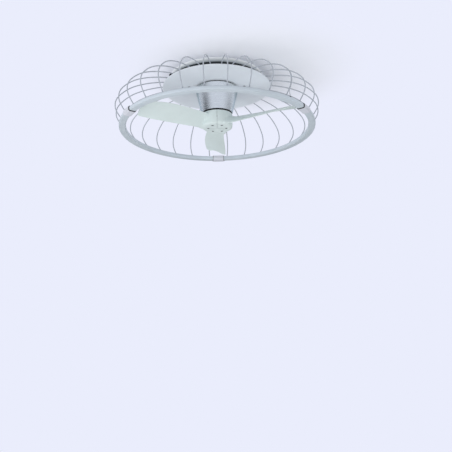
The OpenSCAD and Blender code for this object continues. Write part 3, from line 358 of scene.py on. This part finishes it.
# %% Hand out the finishes
DRESS = {
    "disc_paint": ["cover_disc"],
    "canopy_paint_painted_shade": ["canopy_pan", "rim_screws"],
    "wire_paint": ["cage_hoop", "cage_wires_left", "cage_wires_front", "cage_wires_right", "light_lead"],
    "channel_paint": ["channel_left", "channel_front", "channel_right"],
    "opal_lens": ["diffuser_left", "diffuser_front", "diffuser_right"],
    "sleeve_plastic": ["sleeve_rear", "sleeve_front_left", "sleeve_front_right"],
    "cone_satin": ["motor_cone"],
    "blade_plastic": ["blade_rear", "blade_front_left", "blade_front_right"],
    # the spacer ring's dark colour is painted shade for the gap above the cover disc
    "band_black_painted_shade": ["spacer_ring"],
    "black_plastic": ["hoop_clips", "motor_neck", "rotor_cup"],
    "black_rubber": ["cable_bush", "ring_seals", "ring_grommet"],
    "case_plastic": ["motor_driver", "light_driver", "terminal_block", "remote_receiver"],
    "black_zinc": ["cover_screws", "blade_screws"],
    "zinc_plate": ["ceiling_bracket", "pan_nuts", "mount_plate", "cover_posts", "mount_screws",
                   "cone_screws", "shaft_screws", "module_screws", "clip_bolts", "carrier_screws",
                   "lid_screws", "hub_carrier", "sleeve_screws"],
    "ground_steel": ["motor_shaft", "bearing_inner_rings", "bearing_balls", "bearing_outer_rings"],
    "laminated_core": ["stator_core"],
    "copper_turns": ["stator_windings"],
    "magnet_nickel": ["rotor_magnets"],
    "rotor_paint": ["rotor_lid"],
    "diode_board": ["diodes_left", "diodes_front", "diodes_right"],
}

for finish, names in DRESS.items():
    for name in names:
        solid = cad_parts[name]
        for slot in solid.material_slots:
            slot.material = FINISHES[finish]
bare = set(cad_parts) - {name for names in DRESS.values() for name in names}
assert not bare, f"solids without a finish: {sorted(bare)}"
print("dressed", sum(len(names) for names in DRESS.values()), "solids")

# %% [markdown]
# ## The blade mouldings
#
# Each blade is one moulding with a third of the hub: three of them close round the motor, with a fine
# seam between them and two screw wells in each. The CAD solid has this shape in flat facets, so we
# model it again as a smooth surface, from the same measures. A blade could be pulled out of a sphere or
# sculpted, but its form is ruled by two long edge curves, so we draw one section as a closed loop and
# extrude that loop from station to station, moving each new loop to where the two curves say.

# %% The measures of a moulding
HUB_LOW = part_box("blade_rear")[0][2]
HUB_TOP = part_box("blade_rear")[1][2]
TIP_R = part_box("blade_rear")[1][1]
HUB_R = 49.0 * MM
HUB_WALL = 2.6 * MM
HUB_FLOOR = 3.0 * MM
HUB_ROUND = 9.0 * MM
SEAM = 0.8 * MM
ROOT_R = 30.0 * MM
TIP_ROUND = 9.0 * MM
SPAN = (TIP_R - ROOT_R) / MM
LOW_SIDE = (-19.6, -18.6, -27.1, -25.0)
LOW_LIFT = (1.1, 0.9, 0.3, 3.4)
HIGH_SIDE = (19.5, 34.7, 55.8, 39.1)
HIGH_LIFT = (35.8, 32.5, 39.4, 23.4)
BLADE_T = 5.0
FLARE_T = 14
FLARE_W = 8
FLARE_LENGTH = 24
print("a blade spans", round(SPAN), "mm")

# %% [markdown]
# The two edges are cubic curves. Four control values give each edge's sideways place and four more its
# lift above the hub's under side, in millimetres. The blade is 1.35 times BLADE_T at the hub and 0.8
# times at the tip. At the hub it also swells: it gets thicker and wider within a few centimetres, as a
# moulding must where the load goes in. The swelling fades out with a square, so no step shows where
# it ends.

# %% A point of the blade
def cubic(a, b, c, d, t):
    """A smooth curve from a to d, drawn towards b and c on the way."""
    return a * (1 - t) ** 3 + 3 * b * t * (1 - t) ** 2 + 3 * c * t * t * (1 - t) + d * t ** 3


def swell(t):
    """1 at the hub, and 0 a little way out."""
    out = max(0, ROOT_R / MM + SPAN * t - 0.9 * HUB_R / MM)
    return max(0, 1 - out / FLARE_LENGTH) ** 2


def blade_point(t, s, face):
    """A point of the blade: t along its span, s from its low to its high edge, face +1 on top, in mm."""
    corner = TIP_ROUND / MM
    inset = corner - math.sqrt(max(0, corner ** 2 - max(0, corner - SPAN * (1 - t)) ** 2))
    low = Vector((cubic(*LOW_SIDE, t) - FLARE_W * swell(t), cubic(*LOW_LIFT, t)))
    high = Vector((cubic(*HIGH_SIDE, t), cubic(*HIGH_LIFT, t)))
    along = (high - low).normalized()
    up = Vector((-along.y, along.x))
    low, high = low + along * inset, high - along * inset
    belly = 4 * s * (1 - s)
    camber = (3.4 + 2.8 * t) * belly * (1 + 0.4 * (2 * s - 1))
    thick = BLADE_T * (1.35 - 0.55 * t) + FLARE_T * swell(t)
    half = 0.5 + (thick / 2 - 0.5) * belly ** 0.6
    side, lift = low + (high - low) * s + up * (camber + face * half)
    return Vector((ROOT_R + SPAN * t * MM, side * MM, HUB_LOW + lift * MM))


# %% Extrude a section from station to station
def loop_at(t, columns):
    places = [0.5 - 0.5 * math.cos(math.pi * k / columns) for k in range(columns + 1)]
    return ([blade_point(t, s, 1) for s in places]
            + [blade_point(t, s, -1) for s in reversed(places)])


def blade_shape(rows=56, columns=14):
    shape = bmesh.new()
    mark = shape.verts.layers.int.new("place")
    ring = [shape.verts.new(spot) for spot in loop_at(0, columns)]
    for place, vert in enumerate(ring):
        vert[mark] = place
    edges = [shape.edges.new(pair) for pair in zip(ring, ring[1:] + ring[:1])]
    bmesh.ops.contextual_create(shape, geom=edges)
    tip_rows = 8
    tip_share = TIP_ROUND / MM / SPAN
    straight = [k / (rows - tip_rows) * (1 - tip_share) for k in range(1, rows - tip_rows + 1)]
    round_off = [1 - tip_share * (1 - math.sin(math.pi / 2 * k / tip_rows))
                 for k in range(1, tip_rows + 1)]
    for t in straight + round_off:
        made = bmesh.ops.extrude_edge_only(shape, edges=edges)["geom"]
        edges = [part for part in made if isinstance(part, bmesh.types.BMEdge)]
        spots = loop_at(t, columns)
        for vert in (part for part in made if isinstance(part, bmesh.types.BMVert)):
            vert.co = spots[vert[mark]]
    bmesh.ops.contextual_create(shape, geom=edges)
    bmesh.ops.recalc_face_normals(shape, faces=shape.faces)
    return shape


# %% [markdown]
# The third of the hub is a section that we spin 120 degrees round the axis. Its lower corner is rounded
# first, while it is still a flat outline: a Bevel of one vertex draws the arc, and the spin carries it
# round. Two cuts by planes then leave half a seam on either side. The same helper spins the hollow.

# %% Spin a third of the hub
def spun(outline, corner, rounding, start=0.0, turn=math.tau):
    """Spins an outline of radii and heights round the axis, with one corner rounded first."""
    shape = bmesh.new()
    aim = Matrix.Rotation(start, 4, "Z")
    dots = [shape.verts.new(aim @ Vector((radius, 0, height))) for radius, height in outline]
    for pair in zip(dots, dots[1:]):
        shape.edges.new(pair)
    if outline[0][0] > 0:
        shape.edges.new((dots[-1], dots[0]))
    bmesh.ops.bevel(shape, geom=[dots[corner]], offset=rounding, offset_type="OFFSET", segments=12,
                    profile=0.5, affect="VERTICES", material=-1)
    full = turn > math.tau - 0.01
    bmesh.ops.spin(shape, geom=shape.edges[:] + shape.verts[:], cent=(0, 0, 0), axis=(0, 0, 1),
                   angle=turn, steps=round(turn / math.radians(3)), use_merge=full)
    bmesh.ops.remove_doubles(shape, verts=shape.verts, dist=1e-6)
    open_edges = [edge for edge in shape.edges if len(edge.link_faces) == 1]
    bmesh.ops.holes_fill(shape, edges=open_edges)
    bmesh.ops.recalc_face_normals(shape, faces=shape.faces)
    return shape


def hub_third():
    outline = [(0.2 * MM, HUB_LOW), (HUB_R, HUB_LOW), (HUB_R, HUB_TOP), (0.2 * MM, HUB_TOP)]
    shape = spun(outline, 1, HUB_ROUND, math.radians(-60), math.radians(120))
    for side in (-1, 1):
        outward = Matrix.Rotation(side * math.radians(150), 3, "Z") @ Vector((1, 0, 0))
        cut = bmesh.ops.bisect_plane(shape, geom=shape.verts[:] + shape.edges[:] + shape.faces[:],
                                     plane_co=outward * -SEAM / 2, plane_no=outward, clear_outer=True)
        edges = [part for part in cut["geom_cut"] if isinstance(part, bmesh.types.BMEdge)]
        bmesh.ops.holes_fill(shape, edges=edges)
    bmesh.ops.recalc_face_normals(shape, faces=shape.faces)
    return shape


def hub_hollow():
    radius, floor = HUB_R - HUB_WALL, HUB_LOW + HUB_FLOOR
    outline = [(0, floor), (radius, floor), (radius, HUB_TOP + 20 * MM), (0, HUB_TOP + 20 * MM)]
    return spun(outline, 1, HUB_ROUND - HUB_FLOOR)


def round_bar(radius, low, high, place=(0, 0), sides=48):
    """An upright closed cylinder between two heights."""
    shape = bmesh.new()
    middle = Matrix.Translation((*place, (low + high) / 2))
    bmesh.ops.create_cone(shape, cap_ends=True, segments=sides, radius1=radius, radius2=radius,
                          depth=high - low, matrix=middle)
    return shape


# %% [markdown]
# Now the pieces are joined and cut, as the mould would have it: hub and blade together, hollowed from
# above, then the two screw bosses added and their wells bored. Blender's exact Boolean keeps these
# cuts clean. At the end every edge sharper than 35 degrees is marked sharp, and a narrow bevel breaks
# the moulding's edges, because a real moulding never has a knife edge.

# %% Join and cut with Booleans
def as_object(name, shape):
    mesh = bpy.data.meshes.new(name)
    shape.to_mesh(mesh)
    shape.free()
    made = bpy.data.objects.new(name, mesh)
    bpy.context.scene.collection.objects.link(made)
    return made


def combine(body, shape, operation):
    tool = as_object("tool", shape)
    step = body.modifiers.new("cut", "BOOLEAN")
    step.operation = operation
    step.solver = "EXACT"
    step.object = tool
    settle(body)
    bpy.data.objects.remove(tool)


def settle(body):
    """Turns a piece's modifiers into plain mesh."""
    seen = body.evaluated_get(bpy.context.evaluated_depsgraph_get())
    mesh = bpy.data.meshes.new_from_object(seen)
    body.modifiers.clear()
    body.data = mesh


def smooth_by_angle(mesh, degrees=35):
    shape = bmesh.new()
    shape.from_mesh(mesh)
    for face in shape.faces:
        face.smooth = True
    for edge in shape.edges:
        edge.smooth = len(edge.link_faces) == 2 and edge.calc_face_angle(0) < math.radians(degrees)
    shape.to_mesh(mesh)
    shape.free()


WELL_R = 4.3 * MM
WELL_BOSS_R = 6.5 * MM
SCREW_RING = 29 * MM
SHANK_R = 2.05 * MM
BOSS_TOP = HUB_TOP - 4 * MM
SCREW_SEAT = HUB_LOW + 4 * MM
PAST = 5 * MM
WELLS = [(SCREW_RING * math.cos(turn), SCREW_RING * math.sin(turn))
         for turn in (math.radians(-30), math.radians(30))]

moulding = as_object("moulding", hub_third())
combine(moulding, blade_shape(), "UNION")
combine(moulding, hub_hollow(), "DIFFERENCE")
for well in WELLS:
    combine(moulding, round_bar(WELL_BOSS_R, HUB_LOW + 1 * MM, BOSS_TOP, well), "UNION")
for well in WELLS:
    combine(moulding, round_bar(WELL_R, HUB_LOW - PAST, SCREW_SEAT, well), "DIFFERENCE")
    shank_hole = round_bar(SHANK_R, SCREW_SEAT - 2 * MM, BOSS_TOP + PAST, well, sides=24)
    combine(moulding, shank_hole, "DIFFERENCE")
edge_break = moulding.modifiers.new("edge_break", "BEVEL")
edge_break.width = 0.35 * MM
edge_break.segments = 2
edge_break.limit_method = "ANGLE"
edge_break.angle_limit = math.radians(50)
settle(moulding)
print("moulding has", len(moulding.data.polygons), "faces")

# %% Three mouldings round the hub
for node, azimuth in {"blade_rear": 90, "blade_front_left": 210, "blade_front_right": 330}.items():
    mesh = moulding.data.copy()
    mesh.transform(Matrix.Rotation(math.radians(azimuth), 4, "Z"))
    smooth_by_angle(mesh)
    mesh.materials.clear()
    mesh.materials.append(FINISHES["blade_plastic"])
    piece = bpy.data.objects.new(f"{node}_moulding", mesh)
    bpy.context.scene.collection.objects.link(piece)
    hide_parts(node)
    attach(piece, "rotor")
bpy.data.objects.remove(moulding)

# %% [markdown]
# ## The room
#
# The fan hangs under a white ceiling, which is also the background of the photograph. The ceiling is
# only there for the camera and for reflections, and only from below: seen from above it would hide
# the fan, and if it stopped light it would leave the top of the canopy black. Mixing a clear shader
# in by Light Path and Backfacing does both. Near the fan it catches the soft shadow. Further out it
# fades into the plain backdrop, so that no horizon shows. The fade is centred on the shadow, which
# falls to the right and towards the camera.

# %% Ceiling and floor
ROOM_WHITE = srgb(234, 237, 252)


def one_sided(name, color, middle, fade_from, fade_to):
    wall = Finish(name)
    ray = {kind: wall.node("ShaderNodeLightPath", output=f"Is {kind} Ray")
           for kind in ("Camera", "Glossy", "Transmission")}
    front = 1 - wall.node("ShaderNodeNewGeometry", output="Backfacing")
    seen = front * (ray["Camera"] + ray["Glossy"] + ray["Transmission"])
    grain = wall.noise(40 * MM, detail=4)
    wall.feed(Base_Color=wall.blend(grain, shade(color, 0.995), shade(color, 1.005)),
              Roughness=0.9, Specular_IOR_Level=0.1)
    away = wall.node("ShaderNodeVectorMath", {"operation": "DISTANCE"},
                     {0: wall.place((1, 1, 0)), 1: middle}, output=1)
    far = wall.node("ShaderNodeMapRange", {"interpolation_type": "SMOOTHSTEP"},
                    {0: away, 1: fade_from, 2: fade_to, 3: 0.0, 4: 1.0})
    plain = wall.node("ShaderNodeEmission", inputs={"Color": (*ROOM_WHITE, 1), "Strength": 1.0})
    faded = wall.node("ShaderNodeMixShader", inputs={0: far, 2: plain})
    wall.tree.links.new(wall.shader.outputs[0], faded.socket.node.inputs[1])
    clear = wall.node("ShaderNodeBsdfTransparent")
    mixed = wall.node("ShaderNodeMixShader", inputs={0: seen, 1: clear, 2: faded})
    wall.tree.links.new(mixed.socket, wall.output.inputs["Surface"])
    return wall.material


def plane(name, size, height, face_down, material):
    mesh = bpy.data.meshes.new(name)
    shape = bmesh.new()
    bmesh.ops.create_grid(shape, x_segments=1, y_segments=1, size=size / 2,
                          matrix=Matrix.Translation((0, 0, height)))
    if face_down:
        bmesh.ops.reverse_faces(shape, faces=shape.faces)
    shape.to_mesh(mesh)
    shape.free()
    mesh.materials.append(material)
    made = bpy.data.objects.new(name, mesh)
    bpy.context.scene.collection.objects.link(made)


shadow_middle = (0.09, -0.05, 0)
ceiling_white = one_sided("ceiling_white", srgb(240, 242, 250), shadow_middle, 0.15, 0.4)
floor_white = one_sided("floor_white", ROOM_WHITE, (0, 0, 0), 1.2, 3.0)
plane("ceiling", 16, 0.0, True, ceiling_white)
plane("floor", 16, -2.6, False, floor_white)
print("ceiling and floor are in place")

# %% [markdown]
# ## Light
#
# Plain studio light: a pale sky all round, a little weaker from below than from above, and three
# large soft lamps. One is low in front of the fan and lights what faces down. The strongest stands to
# the front left, so the right sides of the hub and of the cone fall off into shade. It is kept out of
# reflections, because its mirror image would burn out the cone. A weak one on the right lifts the shade.

# %% Sky and lamps
class Sky(Finish):
    """The world, built with the same helpers as a finish."""

    def __init__(self, name):
        self.world = bpy.data.worlds.new(name)
        self.world.use_nodes = True
        self.tree = self.world.node_tree
        self.output = next(n for n in self.tree.nodes if n.type == "OUTPUT_WORLD")


sky = Sky("sky")
bpy.context.scene.world = sky.world
ray = {kind: sky.node("ShaderNodeLightPath", output=f"Is {kind} Ray")
       for kind in ("Camera", "Glossy", "Transmission")}
GLOW_BELOW = 0.64
GLOW_ABOVE = 0.81
height = sky.node("ShaderNodeSeparateXYZ", inputs={0: sky.node("ShaderNodeTexCoord")}, output=2)
strength = sky.node("ShaderNodeMapRange", {"clamp": True},
                    {0: height, 1: -0.1, 2: 0.1, 3: GLOW_BELOW, 4: GLOW_ABOVE})
glow = sky.node("ShaderNodeBackground", inputs={"Color": (0.97, 0.985, 1.0, 1), "Strength": strength})
backdrop = sky.node("ShaderNodeBackground", inputs={"Color": (*ROOM_WHITE, 1), "Strength": 1.0})
seen = ray["Camera"] + ray["Glossy"] + ray["Transmission"]
either = sky.node("ShaderNodeMixShader", inputs={0: seen, 1: glow, 2: backdrop})
sky.tree.links.new(either.socket, sky.output.inputs["Surface"])


def lamp(name, place, aim, size, power):
    data = bpy.data.lights.new(name, "AREA")
    data.shape = "DISK"
    data.size = size
    data.energy = power
    made = bpy.data.objects.new(name, data)
    made.location = place
    made.rotation_euler = (Vector(aim) - Vector(place)).to_track_quat("-Z", "Y").to_euler()
    bpy.context.scene.collection.objects.link(made)
    return made


fan_middle = (0, 0, -0.1)
lamp("front", (0.1, -1.0, -1.25), fan_middle, 1.0, 4.1)
left_lamp = lamp("left", (-1.6, -0.8, -1.0), fan_middle, 1.2, 13.5)
left_lamp.visible_glossy = False
lamp("right", (1.8, 0.0, -0.7), fan_middle, 1.2, 3.6)
print("lamps are lit")

# %% [markdown]
# A curved metal only looks like metal when it has something dark to mirror. In a studio that is done
# with dark screens beside the object. Ours are two upright arcs round the fan, seen by reflections
# alone, so they neither stop light nor show in the picture. Their ends are gauze: the screen gets
# clearer towards them, which gives the cone its soft change from dark side to pale middle. The angle
# round the axis comes from an arc tangent of the object coordinates. They are low enough that the cone
# seen from above mirrors the bright room below them.

# %% Dark screens for the cone
def gauze(name, color, stops):
    """A dark screen whose cover follows the angle round the axis, in turns from -Y over -X to +Y."""
    screen = Finish(name)
    spot = screen.node("ShaderNodeTexCoord", output="Object")
    across, along = (screen.node("ShaderNodeSeparateXYZ", inputs={0: spot}, output=axis) for axis in (0, 1))
    angle = screen.node("ShaderNodeMath", {"operation": "ARCTAN2"}, {0: across, 1: along})
    turn = angle * (1 / math.tau) + 0.5
    cover = screen.node("ShaderNodeValToRGB", {"stops": stops}, {"Fac": turn})
    screen.feed(Base_Color=(*color, 1), Roughness=1.0, Specular_IOR_Level=0.0)
    clear = screen.node("ShaderNodeBsdfTransparent")
    mixed = screen.node("ShaderNodeMixShader", inputs={0: cover, 1: clear})
    screen.tree.links.new(screen.shader.outputs[0], mixed.socket.node.inputs[2])
    screen.tree.links.new(mixed.socket, screen.output.inputs["Surface"])
    return screen.material


def compass(azimuth):
    """An azimuth in degrees, counted from +X towards +Y, as the part of a turn that the ramp reads."""
    return ((90 - azimuth) / 360 + 0.5) % 1


def ramp_stops(table):
    places = sorted((compass(azimuth), cover) for azimuth, cover in table)
    return [(place, (cover, cover, cover, 1)) for place, cover in places]


SCREEN_LOW = -0.6
SCREEN_HIGH = 0.3


def arc_screen(name, start, end, finish, radius=1.1):
    mesh = bpy.data.meshes.new(name)
    shape = bmesh.new()
    aim = Matrix.Rotation(math.radians(start), 4, "Z")
    post = [shape.verts.new(aim @ Vector((radius, 0, level))) for level in (SCREEN_LOW, SCREEN_HIGH)]
    edge = shape.edges.new(post)
    bmesh.ops.spin(shape, geom=[edge, *post], cent=(0, 0, 0), axis=(0, 0, 1),
                   angle=math.radians(end - start), steps=24, use_merge=False)
    shape.to_mesh(mesh)
    shape.free()
    mesh.materials.append(finish)
    made = bpy.data.objects.new(name, mesh)
    bpy.context.scene.collection.objects.link(made)
    made.visible_camera = made.visible_diffuse = made.visible_shadow = made.visible_transmission = False


left_cover = ramp_stops([(88, 0.0), (90, 1.0), (190, 1.0), (206, 0.7), (228, 0.15), (240, 0.0)])
right_cover = ramp_stops([(-45, 0.0), (-20, 0.35), (0, 0.7), (20, 0.9), (60, 1.0), (80, 1.0), (88, 0.0)])
arc_screen("left_screen", 88, 240, gauze("left_gauze", srgb(6, 14, 18), left_cover))
arc_screen("right_screen", -45, 88, gauze("right_gauze", srgb(6, 10, 12), right_cover))
print("screens are up")
